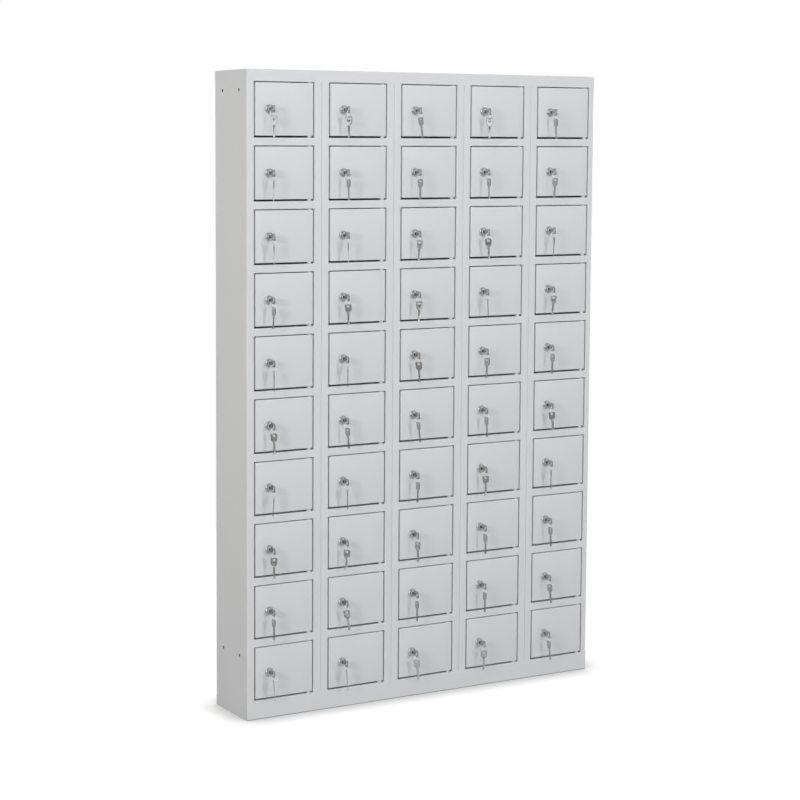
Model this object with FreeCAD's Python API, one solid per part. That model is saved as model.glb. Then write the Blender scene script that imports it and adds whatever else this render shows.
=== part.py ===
import FreeCAD, Part
import math
import os
from FreeCAD import Vector

# Valuables locker: five columns of ten small flush doors in a welded sheet-steel carcass.
# Millimetres. Z is up, the doors face -Y, X runs from the left column to the right one.
# The origin is the middle of the underside.

# Overall size of the carcass
width = 895.0
height = 1390.0
depth = 150.0
columns = 5
rows = 10

# Sheet metal
sheet = 1.0
bend = 0.8

# Front frame as seen from outside
column_pitch = 180.0
opening_width = 144.2
top_rail = 25.4
bottom_rail = 40.6
rail = 17.0
flange = (column_pitch - opening_width) / 2
end_flange = width - flange - (columns - 1) * column_pitch - opening_width
opening_height = (height - top_rail - bottom_rail - (rows - 1) * rail) / rows
row_pitch = opening_height + rail
lip = 13.0
stop_depth = 16.5
stop_reach = 8.0
rear_turn = 20.0

# Doors: folded pans with a stepped pivot at each end of the right-hand edge
gap = 3.0
gap_above = 1.7
gap_below = 3.8
leaf_depth = 15.0
leaf_bend = 1.6
pivot_from_edge = 7.5
pivot_behind_face = 5.0
pin_radius = 2.0
pin_hole_radius = 2.1
pin_length = 7.0
collar_radius = 4.8
upper_collar_radius = 4.2
collar_clearance = 0.3

# Cam lock at mid-height near the left-hand edge of the door
lock_from_edge = 32.5
bezel_radius = 10.0
bezel_height = 4.0
bezel_round = 2.8
plug_radius = 6.0
plug_proud = 0.6
plug_round = 0.4
groove_radius = 6.6
groove_floor = 2.4
barrel_side = 14.0
barrel_play = 0.4
clip_side = 21.0
clip_thickness = 2.0
cam_gap = 1.0
cam_width = 12.0
cam_thickness = 2.0
cam_reach = 33.0
cam_tail = 7.0
cam_corner = 4.0

# Keys: one in the lock, one hanging from a ring through the bow of the first
key_thickness = 2.0
bow_half = 8.0
bow_length = 20.0
bow_corner = 3.5
bow_taper = 12.0
bow_shoulder = 4.0
neck_round = 2.0
shank_half = 2.5
shank_out = 3.0
key_hole_radius = 2.5
hole_from_tip = 5.0
blade_length = 25.0
blade_tip = 1.5
cut_depths = (0.6, 1.3, 0.8, 1.6, 0.5, 1.1)
cut_pitch = 2.5
first_cut = 3.6
ring_radius = 8.0
ring_wire = 1.4
hang_play = 0.12

# The lock of the first door is made in full, so that its plug turns with the key and the cam
full_row = 0
full_column = 0
plug_play = 0.05
slot_play = 0.3
slot_depth = 14.0
screw_radius = 4.0
screw_height = 2.5

# Holes for joining cabinets side by side and for fixing the back to a wall
join_hole_radius = 3.5
join_hole_y = 38.8
join_hole_top = 42.8
join_hole_bottom = 135.5
wall_hole_radius = 4.0
wall_hole_x = 360.0
wall_hole_low = 90.0
wall_hole_high = 1330.0

front = -depth / 2
back = depth / 2
left = -width / 2
right = width / 2
back_panel_front = back - 2 * sheet


def in_xy(u, v):
    return Vector(u, v, 0)


def in_yz(u, v):
    return Vector(0, u, v)


def outline(points, plane):
    # Closed face from (u, v, corner radius) points, each corner rounded by a tangent arc
    edges = []
    starts = []
    ends = []
    middles = []
    count = len(points)
    for i in range(count):
        u, v, r = points[i]
        pu, pv, _ = points[i - 1]
        nu, nv, _ = points[(i + 1) % count]
        a = Vector(pu - u, pv - v, 0).normalize()
        b = Vector(nu - u, nv - v, 0).normalize()
        half = a.getAngle(b) / 2
        corner = Vector(u, v, 0)
        reach = r / math.tan(half) if r else 0.0
        starts.append(corner + a * reach)
        ends.append(corner + b * reach)
        inward = (a + b).normalize() if r else Vector()
        middles.append(corner + inward * (r / math.sin(half) - r))
    for i in range(count):
        p = plane(starts[i].x, starts[i].y)
        q = plane(ends[i].x, ends[i].y)
        n = plane(starts[(i + 1) % count].x, starts[(i + 1) % count].y)
        if points[i][2]:
            edges.append(Part.Arc(p, plane(middles[i].x, middles[i].y), q).toShape())
        if q.distanceToPoint(n) > 1e-6:
            edges.append(Part.LineSegment(q, n).toShape())
    return Part.Face(Part.Wire(edges))


def folded(path, plane):
    # Section of a folded sheet: the path is its middle line, with square bends
    count = len(path)
    sides = ([], [])
    for i in range(count):
        here = Vector(path[i][0], path[i][1], 0)
        before = Vector(*path[max(i - 1, 0)], 0)
        after = Vector(*path[min(i + 1, count - 1)], 0)
        step_in = here - before if i else after - here
        step_out = after - here if i < count - 1 else step_in
        step_in.normalize()
        step_out.normalize()
        normal_in = Vector(-step_in.y, step_in.x, 0)
        normal_out = Vector(-step_out.y, step_out.x, 0)
        turn = step_in.cross(step_out).z
        mitre = normal_in + normal_out if abs(turn) > 0.5 else normal_in
        for side, sign in ((0, 1), (1, -1)):
            corner = here + mitre * (sign * sheet / 2)
            radius = 0.0
            if turn > 0.5:
                radius = bend if sign > 0 else bend + sheet
            elif turn < -0.5:
                radius = bend + sheet if sign > 0 else bend
            sides[side].append((corner.x, corner.y, radius))
    return outline(sides[0] + sides[1][::-1], plane)


def block(x0, x1, y0, y1, z0, z1):
    return Part.makeBox(x1 - x0, y1 - y0, z1 - z0, Vector(x0, y0, z0))


def mirrored(shape):
    return shape.mirror(Vector(0, 0, 0), Vector(1, 0, 0))


def opening_left(column):
    return left + column * column_pitch + flange


def opening_top(row):
    return height - top_rail - row * row_pitch


def pivot_place(column):
    x = opening_left(column) + opening_width - gap - pivot_from_edge
    return x, front + pivot_behind_face


def pivot_hole(column, z0, z1):
    x, y = pivot_place(column)
    return Part.makeCylinder(pin_hole_radius, z1 - z0, Vector(x, y, z0))


def placed(solids, place):
    return Part.makeCompound([s.translated(place) for s in solids])


def save(name, shape):
    shape.exportStep("parts/" + name + ".step")


# Sections of the upright sheets, with the outer face of the wall at x = 0
half = sheet / 2
wall_front = front + half
lip_x = flange - half
stop_y = front + stop_depth - half
lock_side_path = [(half, wall_front), (lip_x, wall_front), (lip_x, stop_y), (flange + stop_reach, stop_y)]
rear_edge = back - sheet
fold_line = front + sheet + bend


def hinge_side_path(reach):
    return [(half, wall_front), (reach - half, wall_front), (reach - half, front + lip)]


lower_edge = sheet
deck = bottom_rail
upper_edge = height - sheet
frame_low = bottom_rail
frame_high = height - top_rail


def front_stile(path):
    # Folded front edge of a wall, welded flush to it between the top rail and the bottom rail
    section = folded([(half, fold_line)] + path, in_xy)
    section.translate(Vector(0, 0, frame_low))
    return section.extrude(Vector(0, 0, frame_high - frame_low))


def side_panel(front_path):
    wall = block(0, sheet, fold_line, rear_edge, lower_edge, upper_edge)
    wall = wall.cut(block(-sheet, 2 * sheet, rear_edge - bend, back, 0, rear_turn))
    wall = wall.cut(block(-sheet, 2 * sheet, rear_edge - bend, back, height - rear_turn, height))
    for y in (-join_hole_y, join_hole_y):
        for z in (join_hole_bottom, height - join_hole_top):
            hole = Part.makeCylinder(join_hole_radius, 3 * sheet, Vector(-sheet, y, z), Vector(1, 0, 0))
            wall = wall.cut(hole)
    return [wall, front_stile(front_path)]


def inner_wall(front_path):
    wall = block(0, sheet, fold_line, back_panel_front, deck, upper_edge)
    return [wall, front_stile(front_path)]


os.makedirs("parts", exist_ok=True)

left_panel = side_panel(lock_side_path)
save("left_side_panel", placed(left_panel, Vector(left, 0, 0)))

right_panel = [mirrored(s) for s in side_panel(hinge_side_path(end_flange))]
save("right_side_panel", placed(right_panel, Vector(right, 0, 0)))

lock_wall = inner_wall(lock_side_path)
hinge_wall = [mirrored(s) for s in inner_wall(hinge_side_path(flange))]
lock_walls = []
hinge_walls = []
for seam in range(1, columns):
    place = Vector(left + seam * column_pitch, 0, 0)
    lock_walls += [s.translated(place) for s in lock_wall]
    hinge_walls += [s.translated(place) for s in hinge_wall]
save("lock_side_walls", Part.makeCompound(lock_walls))
save("hinge_side_walls", Part.makeCompound(hinge_walls))

# Shelf: the rail between two doors is its folded front edge, the plate runs on to the back panel
rail_front = front + half
shelf_join = front + lip
shelf_path = [
    (shelf_join, -half),
    (rail_front, -half),
    (rail_front, half - rail),
    (front + lip, half - rail),
]
inner_left = sheet - flange
shelf_wide = front + stop_depth + sheet
pin_x = opening_width - gap - pivot_from_edge
pin_y = front + pivot_behind_face
nose = folded(shelf_path, in_yz).extrude(Vector(opening_width, 0, 0))
pin_hole = Part.makeCylinder(pin_hole_radius, rail + 2 * sheet, Vector(pin_x, pin_y, -rail - sheet))


def shelf_shape(hinge_flange):
    inner_right = opening_width + hinge_flange - sheet
    plate_points = [
        (opening_width, shelf_join, 0),
        (opening_width, shelf_wide, 0),
        (inner_right, shelf_wide, 0),
        (inner_right, back_panel_front, 0),
        (inner_left, back_panel_front, 0),
        (inner_left, shelf_wide, 0),
        (stop_reach + sheet, shelf_wide, 0),
        (stop_reach + sheet, shelf_join, 0),
    ]
    plate = outline(plate_points, in_xy).extrude(Vector(0, 0, -sheet))
    return nose.fuse(plate).removeSplitter().cut(pin_hole)


shelves = []
for column in range(columns):
    shelf = shelf_shape(flange if column < columns - 1 else end_flange)
    for row in range(rows - 1):
        z = opening_top(row) - opening_height
        shelves.append(shelf.translated(Vector(opening_left(column), 0, z)))
save("shelves", Part.makeCompound(shelves))

# Top and base panels: their front turns are the rails and their rear turns cover the back panel's edges.
# Over each door opening the rail folds inwards; between the openings it is welded flush to the uprights.
rear_fold = back - sheet - bend
top_front = [(fold_line, height - half), (rail_front, height - half)]
top_rear = [(rear_fold, height - half), (back - half, height - half), (back - half, height - rear_turn)]
base_sheet = [(back - half, rear_turn), (back - half, half), (rail_front, half)]
top_fold = [(rail_front, frame_high + half), (front + lip, frame_high + half)]
base_fold = [(rail_front, frame_low - half), (back_panel_front, frame_low - half)]


def strip(path, x0, x1):
    return folded(path, in_yz).extrude(Vector(x1 - x0, 0, 0)).translated(Vector(x0, 0, 0))


top_strips = []
base_strips = []
ends = [opening_left(c) + opening_width for c in range(columns)]
starts = [opening_left(c) for c in range(columns)]
for x0, x1 in zip(starts, ends):
    top_strips.append(strip(top_front + top_fold, x0, x1))
    base_strips.append(strip(base_sheet + base_fold, x0, x1))
for x0, x1 in zip([left] + ends, starts + [right]):
    top_strips.append(strip(top_front + [(rail_front, frame_high)], x0, x1))
    base_strips.append(strip(base_sheet + [(rail_front, frame_low)], x0, x1))
    deck_low = max(x0, left + sheet)
    deck_high = min(x1, right - sheet)
    base_strips.append(block(deck_low, deck_high, front + sheet, back_panel_front, frame_low - sheet, frame_low))
top_front_rail = top_strips[0].fuse(top_strips[1:]).removeSplitter()
base_panel = base_strips[0].fuse(base_strips[1:]).removeSplitter()
for column in range(columns):
    top_front_rail = top_front_rail.cut(pivot_hole(column, frame_high - sheet, frame_high + 2 * sheet))
    base_panel = base_panel.cut(pivot_hole(column, frame_low - 2 * sheet, frame_low + sheet))
top_plate = block(left, right, fold_line, rear_fold, height - sheet, height)
save("top_panel", Part.makeCompound([top_plate, top_front_rail, strip(top_rear, left, right)]))
save("base_panel", base_panel)

# Back panel, welded between the sides and inside the rear turns of the top and the base
edge = sheet + bend
back_panel = block(left + sheet, right - sheet, back_panel_front, rear_edge, edge, height - edge)
for x in (-wall_hole_x, wall_hole_x):
    for z in (wall_hole_low, wall_hole_high):
        spot = Vector(x, back_panel_front - sheet, z)
        back_panel = back_panel.cut(Part.makeCylinder(wall_hole_radius, 3 * sheet, spot, Vector(0, 1, 0)))
save("back_panel", back_panel)

# Doors, drawn with the lower left corner of the leaf's front face at the origin
leaf_width = opening_width - 2 * gap
leaf_height = opening_height - gap_above - gap_below
lock_x = lock_from_edge
lock_z = leaf_height / 2
outward = Vector(0, -1, 0)
barrel_end = stop_depth + cam_gap
barrel_half = barrel_side / 2
hole_side = barrel_half + barrel_play / 2

leaf = block(0, leaf_width, 0, leaf_depth, 0, leaf_height)
face_edges = [e for e in leaf.Edges if abs(e.CenterOfMass.y) < 1e-6]
leaf = leaf.makeFillet(leaf_bend, face_edges)
leaf = leaf.cut(block(sheet, leaf_width - sheet, sheet, leaf_depth, sheet, leaf_height - sheet))
leaf = leaf.cut(block(lock_x - hole_side, lock_x + hole_side, 0, sheet, lock_z - hole_side, lock_z + hole_side))

# Pivots: pins with collars that keep the gaps above and below the leaf open
up = Vector(0, 0, 1)
pivot_x = leaf_width - pivot_from_edge


def stepped_pin(z, direction, radius, height):
    foot = Vector(pivot_x, pivot_behind_face, z)
    collar = Part.makeCylinder(radius, height, foot, direction)
    return Part.makeCylinder(pin_radius, pin_length, foot, direction).fuse(collar).removeSplitter()


upper_pin = stepped_pin(leaf_height, up, upper_collar_radius, gap_above - collar_clearance)
lower_pin = stepped_pin(0, -up, collar_radius, gap_below - collar_clearance)

# Cam lock: turned bezel in front of the leaf with the plug's face in a groove, barrel through the leaf,
# retaining clip behind it
lock_at = Vector(lock_x, 0, lock_z)
plug_front = bezel_height + plug_proud


def on_axis(u, v):
    return Vector(lock_x + u, -v, lock_z)


bezel_points = [
    (0, 0, 0),
    (bezel_radius, 0, 0),
    (bezel_radius, bezel_height, bezel_round),
    (groove_radius, bezel_height, 0),
    (groove_radius, groove_floor, 0),
    (plug_radius, groove_floor, 0),
    (plug_radius, plug_front, plug_round),
    (0, plug_front, 0),
]
bezel = outline(bezel_points, on_axis).revolve(lock_at, outward, 360)
barrel = block(lock_x - barrel_half, lock_x + barrel_half, 0, barrel_end, lock_z - barrel_half, lock_z + barrel_half)
clip_half = clip_side / 2
clip_back = sheet + clip_thickness
clip = block(lock_x - clip_half, lock_x + clip_half, sheet, clip_back, lock_z - clip_half, lock_z + clip_half)
lock_body = bezel.fuse([barrel, clip]).removeSplitter()

# The cam rests upright, clear of the door stop, and turns behind it to lock
cam_points = [
    (-cam_width / 2, -cam_tail, cam_corner),
    (cam_width / 2, -cam_tail, cam_corner),
    (cam_width / 2, cam_reach, cam_corner),
    (-cam_width / 2, cam_reach, cam_corner),
]


def on_cam(u, v):
    return Vector(lock_x + u, barrel_end, lock_z + v)


cam = outline(cam_points, on_cam).extrude(Vector(0, cam_thickness, 0))

# Keys stand in the plane across the door; the ring hangs in the bow of one and carries the other
key_tip = bezel_height + shank_out + bow_length
key_side = lock_x - key_thickness / 2
hole_y = hole_from_tip - key_tip
hang = math.sqrt(key_hole_radius**2 - (ring_wire / 2) ** 2) - ring_wire / 2 - hang_play
ring_middle = lock_z - hang - ring_radius
spare_hole = ring_middle - ring_radius - hang
spare_tip = spare_hole + hole_from_tip


def in_lock(u, v):
    return Vector(key_side, u - key_tip, lock_z + v)


def on_ring(u, v):
    return Vector(key_side, hole_y + v, spare_tip - u)


def flat_key(plane, shank, tip, cuts):
    # Bow from u = 0, drawn in to the shank, which has the notches of its lock along one edge
    end = bow_length + shank
    points = [
        (0, -bow_half, bow_corner),
        (bow_taper, -bow_half, bow_shoulder),
        (bow_length, -shank_half, neck_round),
        (end, -shank_half, tip),
        (end, shank_half, tip),
    ]
    for i, deep in enumerate(cuts):
        u = end - first_cut - i * cut_pitch
        points.append((u + cut_pitch / 2, shank_half, 0))
        points.append((u, shank_half - deep, 0))
    if cuts:
        points.append((u - cut_pitch / 2, shank_half, 0))
    points += [
        (bow_length, shank_half, neck_round),
        (bow_taper, bow_half, bow_shoulder),
        (0, bow_half, bow_corner),
    ]
    across = Vector(key_thickness, 0, 0)
    key = outline(points, plane).extrude(across)
    return key.cut(Part.makeCylinder(key_hole_radius, key_thickness, plane(hole_from_tip, 0), across))


ring_at = Vector(lock_x, hole_y + ring_wire / 2, ring_middle)
ring = Part.makeCylinder(ring_radius + ring_wire / 2, ring_wire, ring_at, outward)
ring = ring.cut(Part.makeCylinder(ring_radius - ring_wire / 2, ring_wire, ring_at, outward))
spare_key = flat_key(on_ring, blade_length, blade_tip, cut_depths)
lock_key = flat_key(in_lock, key_tip - bow_length - plug_front, 0, ())

plain_door = [leaf, upper_pin, lower_pin, lock_body, cam, lock_key, ring, spare_key]

# Full lock: a bored body, and a plug with a keyway that carries key, cam, screw and ring
bore_length = barrel_end + plug_front
bore = Part.makeCylinder(plug_radius + plug_play, bore_length, lock_at + outward * plug_front, -outward)
full_body = lock_body.cut(bore)
plug_points = [
    (0, -barrel_end, 0),
    (plug_radius, -barrel_end, 0),
    (plug_radius, plug_front, plug_round),
    (0, plug_front, 0),
]
plug = outline(plug_points, on_axis).revolve(lock_at, outward, 360)
slot_half = (key_thickness + slot_play) / 2
slot_tall = shank_half + slot_play / 2
slot = block(
    lock_x - slot_half,
    lock_x + slot_half,
    -plug_front,
    slot_depth,
    lock_z - slot_tall,
    lock_z + slot_tall,
)
plug = plug.cut(slot)
full_key = flat_key(in_lock, key_tip - bow_length + slot_depth, blade_tip, ())
screw = Part.makeCylinder(screw_radius, screw_height, lock_at - outward * (barrel_end + cam_thickness), -outward)
full_core = [plug, full_key, cam, screw, ring]
full_door = [leaf, upper_pin, lower_pin, full_body]


def door_place(row, column):
    return Vector(opening_left(column) + gap, front, opening_top(row) - opening_height + gap_below)


for row in range(rows):
    for column in range(columns):
        name = "r%02d_c%d" % (row + 1, column + 1)
        place = door_place(row, column)
        if (row, column) == (full_row, full_column):
            save("door_" + name, placed(full_door, place))
            save("lock_core_" + name, placed(full_core, place))
            save("spare_key_" + name, placed([spare_key], place))
        else:
            save("door_" + name, placed(plain_door, place))
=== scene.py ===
import bpy
import bmesh
import math
import random
from mathutils import Matrix, Vector


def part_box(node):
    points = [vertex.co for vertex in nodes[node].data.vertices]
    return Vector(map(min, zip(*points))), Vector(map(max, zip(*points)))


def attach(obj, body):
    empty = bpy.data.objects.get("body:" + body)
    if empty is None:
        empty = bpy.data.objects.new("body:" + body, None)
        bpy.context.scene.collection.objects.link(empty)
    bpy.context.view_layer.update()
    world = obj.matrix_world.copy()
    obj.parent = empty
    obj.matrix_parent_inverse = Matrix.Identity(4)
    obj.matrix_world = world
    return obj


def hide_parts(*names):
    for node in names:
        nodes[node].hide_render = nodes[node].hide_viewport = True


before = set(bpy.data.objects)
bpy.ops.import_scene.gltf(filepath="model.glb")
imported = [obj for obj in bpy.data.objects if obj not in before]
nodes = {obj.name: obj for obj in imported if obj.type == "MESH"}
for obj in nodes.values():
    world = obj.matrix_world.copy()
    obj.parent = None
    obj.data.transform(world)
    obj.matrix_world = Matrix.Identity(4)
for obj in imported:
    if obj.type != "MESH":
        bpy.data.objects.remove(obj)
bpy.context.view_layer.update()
mm = 0.001
print("frame loaded:", len(nodes), "nodes")


class Wire:  # a node socket that takes part in maths
    def __init__(self, finish, socket):
        self.finish = finish
        self.socket = socket

    def maths(self, operation, a, b):
        return self.finish.node("ShaderNodeMath", {"operation": operation}, {0: a, 1: b})

    def __add__(self, other):
        return self.maths("ADD", self, other)

    def __radd__(self, other):
        return self.maths("ADD", other, self)

    def __sub__(self, other):
        return self.maths("SUBTRACT", self, other)

    def __rsub__(self, other):
        return self.maths("SUBTRACT", other, self)

    def __mul__(self, other):
        return self.maths("MULTIPLY", self, other)

    def __rmul__(self, other):
        return self.maths("MULTIPLY", other, self)


class Finish:  # one material or world and its nodes
    def __init__(self, owner):
        owner.use_nodes = True
        self.owner = owner
        self.tree = owner.node_tree
        self.tree.nodes.clear()

    def node(self, kind, settings=None, inputs=None, out=0):
        made = self.tree.nodes.new(kind)
        for key, value in (settings or {}).items():
            setattr(made, key, value)
        for key, value in (inputs or {}).items():
            if isinstance(value, Wire):
                self.tree.links.new(value.socket, made.inputs[key])
            else:
                made.inputs[key].default_value = value
        return Wire(self, made.outputs[out])

    def mix(self, factor, a, b):
        return self.node("ShaderNodeMix", {"data_type": "RGBA"}, {0: factor, 6: a, 7: b}, out=2)

    def noise(self, place, scale, detail):
        return self.node("ShaderNodeTexNoise", None, {"Vector": place, "Scale": scale, "Detail": detail})

    def ramp(self, value, start, end):  # 0 to 1 as the value goes from start to end
        return self.node(
            "ShaderNodeMapRange", {"interpolation_type": "SMOOTHSTEP"},
            {"Value": value, "From Min": start, "From Max": end},
        )

    def ray(self, kind):  # 1 for rays of this kind
        return self.node("ShaderNodeLightPath", out=kind)

    def along(self, vector, axis):
        return self.node("ShaderNodeSeparateXYZ", None, {0: vector}, out=axis)

    def out(self, wire, kind="ShaderNodeOutputMaterial"):
        made = self.tree.nodes.new(kind)
        self.tree.links.new(wire.socket, made.inputs["Surface"])
        return self.owner


def grey(level):
    return (level, level, level, 1.0)


def shaded(colour, level):
    return tuple(level * c for c in colour[:3]) + (1.0,)


# light grey powder coat of the carcass and the doors
paint = {
    "colour": (0.617, 0.645, 0.668, 1.0),
    # the carcass takes the doors' own paint a touch brighter: painted light
    "carcassPaintedLight": 1.005,
    "doorLevel": 1.0,
    "cloud": 0.965,  # shade where the coat lies thicker
    "cloudScale": 4.0,  # per metre
    "cloudDetail": 3.0,
    "roughness": 0.37,
    "peelRough": 0.1,  # added where the skin stands highest
    "peelScale": 700.0,
    "peelDetail": 2.0,
    "peelDepth": 0.02 * mm,
    "peelStrength": 0.35,
    "gloss": 0.4,
}


def powderCoat(name, level):
    f = Finish(bpy.data.materials.new(name))
    colour = shaded(paint["colour"], level)
    place = f.node("ShaderNodeTexCoord", out="Object")
    cloud = f.noise(place, paint["cloudScale"], paint["cloudDetail"])
    peel = f.noise(place, paint["peelScale"], paint["peelDetail"])
    tone = f.mix(cloud, colour, shaded(colour, paint["cloud"]))
    rough = paint["roughness"] + paint["peelRough"] * peel
    bump = f.node(
        "ShaderNodeBump", None,
        {"Strength": paint["peelStrength"], "Distance": paint["peelDepth"], "Height": peel},
    )
    return f.out(f.node(
        "ShaderNodeBsdfPrincipled", None,
        {"Base Color": tone, "Roughness": rough, "Normal": bump, "Specular IOR Level": paint["gloss"]},
    ))


# plated metals of the locks, keys and rings; handling dulls and darkens them in patches
plating = {
    "wornShade": 0.8,
    "wearDetail": 4.0,
    "wearDepth": 0.03 * mm,
    "wearStrength": 0.25,
    "bezelChrome": {
        "colour": (0.60, 0.60, 0.61, 1.0), "metal": 0.9, "rough": 0.06, "wear": 0.08, "grain": 420.0,
    },
    "keyNickel": {
        "colour": (0.515, 0.525, 0.535, 1.0), "metal": 1.0, "rough": 0.16, "wear": 0.10, "grain": 350.0,
    },
    "plugZinc": {
        "colour": (0.70, 0.70, 0.71, 1.0), "metal": 0.6, "rough": 0.08, "wear": 0.08, "grain": 420.0,
    },
    "ringSteel": {
        "colour": (0.93, 0.93, 0.93, 1.0), "metal": 0.45, "rough": 0.14, "wear": 0.12, "grain": 500.0,
    },
}


def plated(name):
    f = Finish(bpy.data.materials.new(name))
    kind = plating[name]
    place = f.node("ShaderNodeTexCoord", out="Object")
    wear = f.noise(place, kind["grain"], plating["wearDetail"])
    tone = f.mix(wear, kind["colour"], shaded(kind["colour"], plating["wornShade"]))
    rough = kind["rough"] + kind["wear"] * wear
    bump = f.node(
        "ShaderNodeBump", None,
        {"Strength": plating["wearStrength"], "Distance": plating["wearDepth"], "Height": wear},
    )
    return f.out(f.node(
        "ShaderNodeBsdfPrincipled", None,
        {"Base Color": tone, "Roughness": rough, "Metallic": kind["metal"], "Normal": bump},
    ))


# painted shade: a near-black plate, mottled by noise, lines the bottom of the keyway
slotShadow = {
    "levels": (0.012, 0.03),
    "shadeMottleScale": 600.0,
    "shadeMottleDetail": 2.0,
    "rough": 0.5,
    "shadeMottleRough": 0.3,
}


def paintedSlotShade(name):
    f = Finish(bpy.data.materials.new(name))
    place = f.node("ShaderNodeTexCoord", out="Object")
    shadeMottle = f.noise(place, slotShadow["shadeMottleScale"], slotShadow["shadeMottleDetail"])
    rough = slotShadow["rough"] + slotShadow["shadeMottleRough"] * shadeMottle
    tone = f.mix(shadeMottle, *map(grey, slotShadow["levels"]))
    return f.out(f.node("ShaderNodeBsdfPrincipled", None, {"Base Color": tone, "Roughness": rough}))


# the carcass coat is the door coat made a touch brighter, as painted light
carcassPaint = powderCoat("carcassPowderCoat", paint["carcassPaintedLight"])
doorPaint = powderCoat("doorPowderCoat", paint["doorLevel"])
bezelChrome = plated("bezelChrome")
keyNickel = plated("keyNickel")
plugZinc = plated("plugZinc")
ringSteel = plated("ringSteel")
keywayShadePaint = paintedSlotShade("keywayShadow")

carcassNodes = [
    "left_side_panel", "right_side_panel", "lock_side_walls", "hinge_side_walls",
    "shelves", "top_panel", "base_panel", "back_panel",
]
for name in carcassNodes:
    mesh = nodes[name].data
    mesh.materials.clear()
    mesh.materials.append(carcassPaint)
print("carcass painted")


creaseAngle = math.radians(38)  # sharper edges than this stay crisp
weldDistance = 0.001 * mm  # points closer than this are one


def keep(shapes, name, body, slot, *stands):  # (bmesh, material) pairs become one piece
    whole = bmesh.new()
    materials = []
    for shape, material in shapes:
        if material not in materials:
            materials.append(material)
        for face in shape.faces:
            face.material_index = materials.index(material)
        scratch = bpy.data.meshes.new("scratch")
        shape.to_mesh(scratch)
        shape.free()
        whole.from_mesh(scratch)
        bpy.data.meshes.remove(scratch)
    mesh = bpy.data.meshes.new(name)
    whole.to_mesh(mesh)
    whole.free()
    for material in materials:
        mesh.materials.append(material)
    mesh.polygons.foreach_set("use_smooth", [True] * len(mesh.polygons))
    mesh.set_sharp_from_angle(angle=creaseAngle)
    piece = bpy.data.objects.new(name, mesh)
    bpy.context.scene.collection.objects.link(piece)
    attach(piece, body)
    if stands:
        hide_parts(*stands)
    return piece


def put(shape, place):  # a moved copy of a shape
    copy = shape.copy()
    bmesh.ops.transform(copy, matrix=place, verts=copy.verts)
    return copy


def turned(profile, steps):  # lathe a profile of (radius, out) in mm about -Y
    bm = bmesh.new()
    verts = [bm.verts.new((r * mm, -out * mm, 0)) for r, out in profile]
    edges = [bm.edges.new(pair) for pair in zip(verts, verts[1:])]
    bmesh.ops.spin(
        bm, geom=verts + edges, cent=(0, 0, 0), axis=(0, -1, 0),
        angle=2 * math.pi, steps=steps, use_merge=True,
    )
    bmesh.ops.remove_doubles(bm, verts=bm.verts[:], dist=weldDistance)
    bmesh.ops.recalc_face_normals(bm, faces=bm.faces[:])
    return bm


def rounded(bm, edges, radius, segments):
    bmesh.ops.bevel(
        bm, geom=edges, offset=radius, segments=segments, profile=0.5, affect="EDGES", material=-1,
    )


def freshVerts(made):  # the vertices among what an operator made
    return [g for g in made if isinstance(g, bmesh.types.BMVert)]


def boxed(low, high, rounding=0.0):
    bm = bmesh.new()
    size = Vector(high) - Vector(low)
    middle = (Vector(high) + Vector(low)) / 2
    bmesh.ops.create_cube(bm, size=1.0, matrix=Matrix.Translation(middle) @ Matrix.Diagonal((*size, 1.0)))
    if rounding:
        rounded(bm, bm.edges[:], rounding, 2)
    return bm


# door leaf, drawn from the lower left corner of its front face
door = {
    "width": 138.2 * mm,
    "height": 111.6 * mm,
    "depth": 15 * mm,
    "sheet": 1 * mm,
    "bend": 1.6 * mm,
    "pivotFromEdge": 7.5 * mm,
    "pivotBehind": 5 * mm,
    "pinRadius": 2 * mm,
    "pinLength": 7 * mm,
    "pinChamfer": 0.4 * mm,
    "pinSegments": 24,
    "collarRadius": 4.8 * mm,
    "collarHeight": 3.5 * mm,
    "upperCollarRadius": 4.2 * mm,
    "upperCollarHeight": 1.4 * mm,
    "collarChamfer": 0.15 * mm,
    "sideGap": 3 * mm,
    "lowerGap": 3.8 * mm,
}


def pin(centre, radius, length, chamfer):  # upright turned pin with broken edges
    bm = bmesh.new()
    bmesh.ops.create_cone(
        bm, cap_ends=True, segments=door["pinSegments"], radius1=radius, radius2=radius, depth=length,
        matrix=Matrix.Translation(centre),
    )
    rims = [edge for edge in bm.edges if abs(edge.verts[0].co.z - edge.verts[1].co.z) < 0.1 * length]
    rounded(bm, rims, chamfer, 1)
    return bm


def leafPan():
    bm = boxed((0, 0, 0), (door["width"], door["depth"], door["height"]))
    backFace = [face for face in bm.faces if face.normal.y > 0.9]
    bmesh.ops.delete(bm, geom=backFace, context="FACES_ONLY")
    folds = [edge for edge in bm.edges if not edge.is_boundary]
    rounded(bm, folds, door["bend"], 4)
    bmesh.ops.recalc_face_normals(bm, faces=bm.faces[:])
    if max(bm.faces, key=lambda face: face.calc_area()).normal.y > 0:
        bmesh.ops.reverse_faces(bm, faces=bm.faces[:])
    bmesh.ops.solidify(bm, geom=bm.faces[:], thickness=door["sheet"])
    return bm


def pivots():
    foot = Vector((door["width"] - door["pivotFromEdge"], door["pivotBehind"], 0))
    head = foot + Vector((0, 0, door["height"]))
    up = Vector((0, 0, 0.5))
    radius, tall, chamfer = door["pinRadius"], door["pinLength"], door["pinChamfer"]
    high = pin(head + tall * up, radius, tall, chamfer)
    low = pin(foot - tall * up, radius, tall, chamfer)
    radius, tall, chamfer = door["collarRadius"], door["collarHeight"], door["collarChamfer"]
    collar = pin(foot - tall * up, radius, tall, chamfer)
    radius, tall = door["upperCollarRadius"], door["upperCollarHeight"]
    washer = pin(head + tall * up, radius, tall, chamfer)
    return [high, low, collar, washer]


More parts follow.
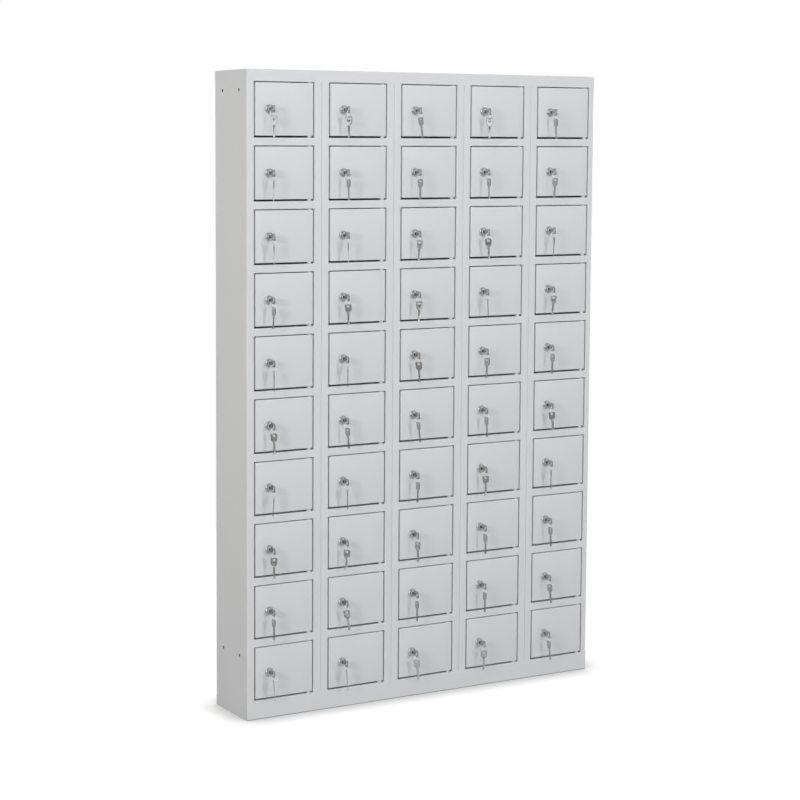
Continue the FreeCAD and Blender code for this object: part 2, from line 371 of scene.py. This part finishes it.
# cam lock, drawn about its axis at the door's face; profiles are (radius, out) in mm
lock = {
    "fromEdge": 32.5 * mm,
    "bezel": [
        (0.0, 0.0), (9.9, 0.0), (10.0, 0.2), (10.0, 0.9), (9.85, 1.3), (8.45, 3.2), (8.15, 3.55),
        (7.7, 3.85), (7.2, 4.0), (6.8, 3.85), (6.6, 3.5), (6.5, 3.2), (6.2, 3.1), (6.1, 1.2), (0.0, 1.2),
    ],
    "plug": [(0.0, 1.5), (6.0, 1.5), (6.0, 4.1), (5.7, 4.5), (5.2, 4.6), (0.0, 4.6)],
    "steps": 40,
    "slotHalf": 2.0 * mm,
    "slotTall": 3.4 * mm,
    "slotDeep": 2.6 * mm,
    "slotShadePlate": 0.2 * mm,  # thickness of the dark plate that lines its bottom, painted shade
    "slotShadePlateLift": 0.3 * mm,
    "barrel": 7 * mm,
    "barrelStart": 0.2 * mm,
    "barrelEnd": 17.5 * mm,
    "barrelEdge": 0.6 * mm,
    "clip": 10.5 * mm,
    "clipStart": 1 * mm,
    "clipEnd": 3 * mm,
    "clipEdge": 0.3 * mm,
    "camHalf": 6 * mm,
    "camReach": 33 * mm,
    "camTail": 7 * mm,
    "camThick": 2 * mm,
    "camCorner": 4 * mm,
    "screwRadius": 4 * mm,
    "screwTall": 2.4 * mm,
    "screwEdge": 0.5 * mm,
}
plugFace = lock["plug"][-1][1] * mm  # how far the plug stands out of the door


def lockBody():
    half = lock["barrel"]
    barrel = boxed((-half, lock["barrelStart"], -half), (half, lock["barrelEnd"], half), lock["barrelEdge"])
    half = lock["clip"]
    clip = boxed((-half, lock["clipStart"], -half), (half, lock["clipEnd"], half), lock["clipEdge"])
    return [(turned(lock["bezel"], lock["steps"]), bezelChrome), (barrel, bezelChrome), (clip, keyNickel)]


def plug():
    bm = turned(lock["plug"], lock["steps"])
    reach = {(1, 0, 0): lock["slotHalf"], (0, 0, 1): lock["slotTall"]}
    for axis, far in reach.items():
        for sign in (-1, 1):
            normal = sign * Vector(axis)
            geom = bm.verts[:] + bm.edges[:] + bm.faces[:]
            bmesh.ops.bisect_plane(bm, geom=geom, plane_co=far * normal, plane_no=normal)
    mouth = []
    for face in bm.faces:
        middle = face.calc_center_median()
        inside = abs(middle.x) < lock["slotHalf"] and abs(middle.z) < lock["slotTall"]
        if inside and middle.y < -0.98 * plugFace:
            mouth.append(face)
    made = bmesh.ops.extrude_face_region(bm, geom=mouth)["geom"]
    bmesh.ops.translate(bm, vec=(0, lock["slotDeep"], 0), verts=freshVerts(made))
    bmesh.ops.delete(bm, geom=[face for face in mouth if face.is_valid], context="FACES_ONLY")
    return bm


# near-black plate at the bottom of the keyway: painted shade
def keywayShadePlate():
    wide, tall = lock["slotHalf"], lock["slotTall"]
    deep = lock["slotDeep"] - plugFace - lock["slotShadePlateLift"]
    return boxed((-wide, deep, -tall), (wide, deep + lock["slotShadePlate"], tall))


def cam():
    half, thick, y = lock["camHalf"], lock["camThick"], lock["barrelEnd"]
    bm = boxed((-half, y, -lock["camTail"]), (half, y + thick, lock["camReach"]))
    corners = [e for e in bm.edges if abs(e.verts[0].co.y - e.verts[1].co.y) > 0.5 * thick]
    rounded(bm, corners, lock["camCorner"], 5)
    return bm


def camScrew():
    bm = bmesh.new()
    radius, tall = lock["screwRadius"], lock["screwTall"]
    spot = Matrix.Translation((0, lock["barrelEnd"] + lock["camThick"] + tall / 2, 0))
    bmesh.ops.create_cone(
        bm, cap_ends=True, segments=6, radius1=radius, radius2=radius, depth=tall,
        matrix=spot @ Matrix.Rotation(math.pi / 2, 4, "X"),
    )
    ends = [edge for edge in bm.edges if abs(edge.verts[0].co.y - edge.verts[1].co.y) < 0.1 * tall]
    rounded(bm, ends, lock["screwEdge"], 2)
    return bm


# flat key, drawn hanging: its hole at the origin, blade down, thickness along X
key = {
    "bowHalf": 8 * mm,
    "bowTop": 5 * mm,
    "bowBottom": 15 * mm,
    "taper": -9.5 * mm,  # from here down the bow draws in sharply towards the blade
    "slant": 0.12,  # how much narrower it is there than at the top
    "square": 8.0,  # higher is squarer
    "hole": 2.5 * mm,
    "thick": 2.0 * mm,
    "edge": 0.25 * mm,
    "margin": 0.9 * mm,  # raised border round the bow and its hole
    "recess": 0.2 * mm,
    "bladeHalf": 2.5 * mm,
    "bladeThin": 0.9 * mm,  # half its thickness
    "bladeRoot": 2 * mm,  # how far it runs up into the bow
    "groove": 0.3 * mm,
    "grooveMargin": 1.4 * mm,
    "cuts": (0.3, 1.2, 0.7, 1.5, 0.4, 1.0, 1.4, 0.6, 0.2),  # depth of the notches in mm
    "segments": 48,
}


def bow():
    bm = bmesh.new()
    upright = Matrix.Rotation(math.pi / 2, 4, "Y")
    rim = bmesh.ops.create_circle(bm, segments=key["segments"], radius=1.0, matrix=upright)["verts"]
    middle = (key["bowTop"] - key["bowBottom"]) / 2
    tall = (key["bowTop"] + key["bowBottom"]) / 2
    for v in rim:  # square the circle off, then draw it in towards the blade
        power = key["square"]
        v.co /= (abs(v.co.y) ** power + abs(v.co.z) ** power) ** (1 / power)
        v.co.z = middle + v.co.z * tall
        down = min(1.0, (key["bowTop"] - v.co.z) / (key["bowTop"] - key["taper"]))
        drawn = max(0.0, (key["taper"] - v.co.z) / (key["taper"] + key["bowBottom"]))
        half = key["bowHalf"] * (1 - key["slant"] * down)
        v.co.y *= half + (key["bladeHalf"] - half) * drawn
    eye = bmesh.ops.create_circle(bm, segments=key["segments"], radius=key["hole"], matrix=upright)["verts"]
    edges = list({edge for v in rim + eye for edge in v.link_edges})
    flat = bmesh.ops.bridge_loops(bm, edges=edges)["faces"]
    made = bmesh.ops.extrude_face_region(bm, geom=flat)["geom"]
    bmesh.ops.translate(bm, vec=(key["thick"], 0, 0), verts=freshVerts(made))
    bmesh.ops.translate(bm, vec=(-key["thick"] / 2, 0, 0), verts=bm.verts[:])
    bmesh.ops.recalc_face_normals(bm, faces=bm.faces[:])
    sharp = [edge for edge in bm.edges if edge.calc_face_angle(0.0) > 1.0]
    rounded(bm, sharp, key["edge"], 1)
    sides = [face for face in bm.faces if abs(face.normal.x) > 0.95]
    bmesh.ops.inset_region(
        bm, faces=sides, thickness=key["margin"], depth=-key["recess"], use_even_offset=True,
    )
    return bm


def blade(length):
    thin = key["bladeThin"]
    half = key["bladeHalf"]
    bm = boxed((-thin, -half, -key["bowBottom"] - length), (thin, half, key["bladeRoot"] - key["bowBottom"]))
    sides = [face for face in bm.faces if abs(face.normal.x) > 0.9]
    bmesh.ops.inset_individual(bm, faces=sides, thickness=key["grooveMargin"], depth=-key["groove"])
    notched = []  # the two edges of the blade's notched side
    for edge in bm.edges:
        start, end = edge.verts
        if abs(start.co.z - end.co.z) > 0.9 * length and start.co.y > 0.9 * half:
            notched.append(edge)
    cut = bmesh.ops.subdivide_edges(bm, edges=notched, cuts=len(key["cuts"]))["geom_inner"]
    for i, v in enumerate(sorted(freshVerts(cut), key=lambda v: round(v.co.z, 6))):
        v.co.y -= key["cuts"][i // 2] * mm
    bmesh.ops.recalc_face_normals(bm, faces=bm.faces[:])
    return bm


# split ring: two turns of wire side by side
ring = {"radius": 8.0 * mm, "wire": 0.42 * mm, "steps": 40, "segments": 8, "pitch": 0.43 * mm}


def splitRing():
    bm = bmesh.new()
    for side in (-1, 1):
        loop = bmesh.ops.create_circle(
            bm, segments=ring["segments"], radius=ring["wire"],
            matrix=Matrix.Translation((ring["radius"], side * ring["pitch"], 0)),
        )["verts"]
        edges = list({edge for v in loop for edge in v.link_edges})
        bmesh.ops.spin(
            bm, geom=loop + edges, cent=(0, 0, 0), axis=(0, 1, 0),
            angle=2 * math.pi, steps=ring["steps"], use_merge=True,
        )
    bmesh.ops.remove_doubles(bm, verts=bm.verts[:], dist=weldDistance)
    bmesh.ops.recalc_face_normals(bm, faces=bm.faces[:])
    return bm


# how the keys hang: row by row from the top, each spare key edge-on, narrow, half, slanting, wide, dark
# or bright to the viewer
hanging = {
    "rows": ["sbhbn", "enhnh", "eewwe", "nwwew", "eewhn", "whnnd", "eenwe", "dwhnn", "nwnnh", "eewwn"],
    "turn": {"e": -29, "n": 0, "h": 16, "s": 36, "w": 45, "d": 58, "b": 59},
    "jitter": 4,  # degrees
    "sway": 1.2,
    "lean": [  # how far each blade hangs to the right, in degrees
        (0, 0, 6, -2, 2), (0, 2, 0, 0, -4), (0, -1, -5, 2, -3), (-2, 2, -2, 2, -4), (1, 0, 3, -3, -1),
        (2, 3, 7, 2, 5), (-2, 0, 0, -2, 0), (0, -4, 2, 2, 4), (-1, 7, -1, 0, 5), (4, 4, 8, -3, 6),
    ],
    "keyOut": 22 * mm,  # hole of the key in the lock, out from the door's face
    "slack": 1.58 * mm,
    "shank": 5.0 * mm,
    "blade": 25 * mm,
}

bowShape = bow()
shankShape = blade(hanging["shank"])
bladeShape = blade(hanging["blade"])
ringShape = splitRing()
panShape = leafPan()
pivotShapes = pivots()
plugShape = plug()
shadePlateShape = keywayShadePlate()
camShape = cam()
screwShape = camScrew()
lockShapes = lockBody()
chance = random.Random(7)
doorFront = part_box("top_panel")[0][1]

for row, letters in enumerate(hanging["rows"]):
    for column, letter in enumerate(letters):
        tag = "r%02d_c%d" % (row + 1, column + 1)
        node = "door_" + tag
        low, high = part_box(node)
        corner = Vector((low[0], doorFront, high[2] - door["pinLength"] - door["height"]))
        at = Matrix.Translation(corner)
        parts = [(put(shape, at), doorPaint) for shape in [panShape] + pivotShapes]
        keep(parts, "leaf_" + tag, node, "door_paint", node)

        axis = at @ Matrix.Translation((lock["fromEdge"], 0, door["height"] / 2))
        turn = math.radians(hanging["turn"][letter] + chance.uniform(-1, 1) * hanging["jitter"])
        swing = math.radians(chance.uniform(-1, 1) * hanging["sway"])
        lean = math.radians(chance.uniform(-1, 1) * hanging["sway"] - hanging["lean"][row][column])
        working = tag == "r01_c1"  # this lock's plug turns, and its ring turns within its own plane
        ringTurn = 0.0 if working else turn / 2
        hole = axis @ Matrix.Translation((0, -hanging["keyOut"], 0))
        insert = hole @ Matrix.Rotation(math.pi / 2, 4, "X")
        down = hanging["slack"] + ring["radius"]
        loop = hole @ Matrix.Translation((0, 0, -down)) @ Matrix.Rotation(ringTurn, 4, "Z")
        hang = hole @ Matrix.Translation((0, 0, -2 * down)) @ Matrix.Rotation(lean, 4, "Y")
        hang = hang @ Matrix.Rotation(swing, 4, "X") @ Matrix.Rotation(turn, 4, "Z")

        core = "lock_core_" + tag if working else node
        spare = "spare_key_" + tag if working else node
        body = [(put(shape, axis), material) for shape, material in lockShapes]
        keep(body, "lock_body_" + tag, node, "lock_chrome", node)
        parts = [(put(plugShape, axis), plugZinc), (put(shadePlateShape, axis), keywayShadePaint)]
        parts += [(put(camShape, axis), keyNickel), (put(screwShape, axis), keyNickel)]
        keep(parts, "plug_and_cam_" + tag, core, "lock_chrome", core)
        parts = [(put(bowShape, insert), keyNickel), (put(shankShape, insert), keyNickel)]
        parts += [(put(ringShape, loop), ringSteel)]
        keep(parts, "key_and_ring_" + tag, core, "key_steel", core)
        parts = [(put(bowShape, hang), keyNickel), (put(bladeShape, hang), keyNickel)]
        keep(parts, "spare_key_on_ring_" + tag, spare, "key_steel", spare)
spent = [bowShape, shankShape, bladeShape, ringShape, panShape, plugShape, shadePlateShape, camShape, screwShape]
for shape in spent + pivotShapes + [shape for shape, material in lockShapes]:
    shape.free()
print("doors, locks and keys built")

# dressed welds that fill the folds where each short rail meets the uprights
weld = {"fold": 1.8 * mm, "rail": 17 * mm, "steps": 5}
beads = bmesh.new()
for row in range(len(hanging["rows"]) - 1):
    for column in range(len(hanging["rows"][row])):
        low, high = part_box("door_r%02d_c%d" % (row + 1, column + 1))
        railTop = high[2] - door["pinLength"] - door["height"] - door["lowerGap"]
        leafLeft = low[0]
        ends = {-1: leafLeft - door["sideGap"], 1: leafLeft + door["width"] + door["sideGap"]}
        for side, x in ends.items():
            section = [(x, doorFront)]
            for i in range(weld["steps"] + 1):
                angle = math.pi / 2 * i / weld["steps"]
                away = weld["fold"] * (1 - math.sin(angle))
                section.append((x + side * away, doorFront + weld["fold"] * (1 - math.cos(angle))))
            face = beads.faces.new([beads.verts.new((*spot, railTop)) for spot in section])
            made = bmesh.ops.extrude_face_region(beads, geom=[face])["geom"]
            bmesh.ops.translate(beads, vec=(0, 0, -weld["rail"]), verts=freshVerts(made))
bmesh.ops.recalc_face_normals(beads, faces=beads.faces[:])
keep([(beads, carcassPaint)], "rail_welds", "carcass", "carcass_paint")
print("rail welds built")

# studio: white floor and air, one narrow lamp in front, soft boxes above, to the left, beside and behind
studio = {
    "ambient": 0.41,
    "frontAir": 0.58,  # how bright the room before the doors shows in metal
    "zones": [  # brighter parts of that room, each between headings where it starts and is full
        # window along the left side
        {"level": 1.5, "X": (-0.5, -0.75), "Y": (-0.5, -0.3), "Z": (-0.35, -0.05)},
        # wall to the viewer's right
        {"level": 1.3, "X": (0.3, 0.42), "Y": (-0.55, -0.7), "Z": (-0.08, 0.0)},
        {"level": 0.5, "Z": (0.3, 0.8)},  # ceiling
        {"level": 1.0, "Y": (-0.1, 0.15)},  # air behind the doors
    ],
    "viewer": {  # the room round the viewer: dim below eye level and bright above it
        "heading": (-0.51, -0.85, 0.1),
        "edge": (0.955, 0.985),
        "low": 0.17,
        "high": 1.75,
        "rise": (-0.1, -0.04),
    },
    "lamps": {
        "frontStrip": {"place": (1.3, -3.8, 1.4), "aim": (0.0, 0.0, 0.75), "size": (0.35, 1.0), "power": 45},
        "overheadBox": {"place": (-1.0, -2.0, 3.4), "aim": (-0.2, 0.0, 0.7), "size": (2.6, 2.0), "power": 39},
        "leftBox": {
            "place": (-4.0, -2.25, 1.72), "aim": (0.0, 0.0, 0.8), "size": (0.7, 0.7), "power": 60,
            "tint": (1.0, 0.90, 0.80),
        },
        "sideBox": {
            "place": (-3.4, 0.4, 1.5), "aim": (-0.45, 0.0, 0.75), "size": (0.8, 0.8), "power": 0.25,
            "tint": (1.0, 0.90, 0.80), "spread": 24,
        },
        "backBox": {"place": (0.9, 3.2, 1.7), "aim": (0.0, 0.0, 0.7), "size": (1.8, 1.4), "power": 30},
    },
    "floorSize": 30.0,
    "floorDrop": 0.5 * mm,  # below the cabinet, so that the two faces never meet
    "floorMatt": (0.62, 0.25, 0.42),  # for bounced light, as seen, and as metal shows it
    "floorGlow": 0.86,
    "floorShine": 0.42,  # painted light: the strip of floor before the doors glows this much, seen only in metal
    "shineNear": (-0.06, -0.1),
    "shineFar": (-0.5, -0.3),
    "contact": (0.07, 1.1),  # reach of the contact shade in metres, and its depth
    "floorFade": (0.8, 2.0),  # from the shaded floor to plain white
}
for name, lamp in studio["lamps"].items():
    data = bpy.data.lights.new(name, "AREA")
    data.shape = "RECTANGLE"
    data.size, data.size_y = lamp["size"]
    data.energy = lamp["power"]
    data.color = lamp.get("tint", (1.0, 1.0, 1.0))
    data.spread = math.radians(lamp.get("spread", 180))
    box = bpy.data.objects.new(name, data)
    box.location = lamp["place"]
    box.rotation_euler = (Vector(lamp["aim"]) - Vector(lamp["place"])).to_track_quat("-Z", "Y").to_euler()
    box.visible_glossy = False  # metal shows the room, not the lamps
    bpy.context.scene.collection.objects.link(box)

bpy.context.scene.world = bpy.data.worlds.new("studioAir")
f = Finish(bpy.context.scene.world)
direct = f.ray("Is Camera Ray") + f.ray("Is Transmission Ray")
mirror = f.ray("Is Glossy Ray")
heading = f.node("ShaderNodeTexCoord", out="Generated")


def towards(axis, limits):  # 0 to 1 as the heading turns from the first limit to the second
    return f.ramp(f.along(heading, axis), *limits)


room = studio["frontAir"]
for zone in studio["zones"]:
    lit = zone["level"]
    for axis in "XYZ":
        if axis in zone:
            lit = lit * towards(axis, zone[axis])
    room = lit.maths("MAXIMUM", lit, room)
viewer = studio["viewer"]
facing = f.node(
    "ShaderNodeVectorMath", {"operation": "DOT_PRODUCT"}, {0: heading, 1: viewer["heading"]}, out="Value",
)
around = viewer["low"] + (viewer["high"] - viewer["low"]) * towards("Z", viewer["rise"])
room = room + (around - room) * f.ramp(facing, *viewer["edge"])
level = studio["ambient"] + (1.0 - studio["ambient"]) * direct + (room - studio["ambient"]) * mirror
f.out(f.node("ShaderNodeBackground", None, {"Color": grey(1.0), "Strength": level}), "ShaderNodeOutputWorld")

bm = bmesh.new()
bmesh.ops.create_grid(bm, x_segments=8, y_segments=8, size=studio["floorSize"] / 2)
mesh = bpy.data.meshes.new("studioFloor")
bm.to_mesh(mesh)
bm.free()
floor = bpy.data.objects.new("studioFloor", mesh)
floor.location.z = -studio["floorDrop"]
bpy.context.scene.collection.objects.link(floor)
f = Finish(bpy.data.materials.new("studioFloorWhite"))
spot = f.node("ShaderNodeTexCoord", out="Object")
away = f.node("ShaderNodeVectorMath", {"operation": "LENGTH"}, {0: spot}, out="Value")
fade = f.ramp(away, *studio["floorFade"])
seen = f.ray("Is Camera Ray") + f.ray("Is Transmission Ray")
mirror = f.ray("Is Glossy Ray")
bounced, shown, mirrored = studio["floorMatt"]
tone = bounced + (shown - bounced) * seen + (mirrored - bounced) * mirror
matt = f.node("ShaderNodeBsdfDiffuse", None, {"Color": tone})
reach, depth = studio["contact"]
contact = f.node("ShaderNodeAmbientOcclusion", None, {"Distance": reach}, out="AO")
shade = 1.0 - depth + depth * contact
ahead = f.along(spot, "Y")
# painted light: the floor strip before the doors glows for metal's reflections only
strip = f.ramp(ahead, *studio["shineNear"]) * f.ramp(ahead, *studio["shineFar"])
shine = studio["floorShine"] * mirror * strip
glow = studio["floorGlow"] * seen * shade + shine
lift = f.node("ShaderNodeEmission", None, {"Color": grey(1.0), "Strength": glow})
white = f.node("ShaderNodeEmission", None, {"Color": grey(1.0), "Strength": 1.0})
near = f.node("ShaderNodeAddShader", None, {0: matt, 1: lift})
mesh.materials.append(f.out(f.node("ShaderNodeMixShader", None, {0: fade * seen, 1: near, 2: white})))

# camera at the photograph's angle
view = {
    "place": (-2.309435, -3.778312, 1.232678),
    "yaw": 29.121,
    "pitch": -5.3632,
    "roll": 0.1687,
    "focal": 1973.17,  # in pixels of the frame
    "frame": 800.0,
    "sensor": 36.0,
    "shift": (0.0875, -0.0875),
}
yaw = math.radians(view["yaw"])
pitch = math.radians(view["pitch"])
roll = math.radians(view["roll"])
forward = Vector((math.sin(yaw) * math.cos(pitch), math.cos(yaw) * math.cos(pitch), math.sin(pitch)))
side = Vector((math.cos(yaw), -math.sin(yaw), 0))
over = side.cross(forward)
right = math.cos(roll) * side + math.sin(roll) * over
top = math.cos(roll) * over - math.sin(roll) * side
lens = bpy.data.cameras.new("photoCamera")
lens.sensor_width = view["sensor"]
lens.lens = view["focal"] * view["sensor"] / view["frame"]
lens.shift_x, lens.shift_y = view["shift"]
lens.clip_end = 100.0
eye = bpy.data.objects.new("photoCamera", lens)
eye.matrix_world = Matrix.Translation(view["place"]) @ Matrix((right, top, -forward)).transposed().to_4x4()
bpy.context.scene.collection.objects.link(eye)
bpy.context.scene.camera = eye
bpy.context.scene.view_settings.view_transform = "Standard"
print("studio set")
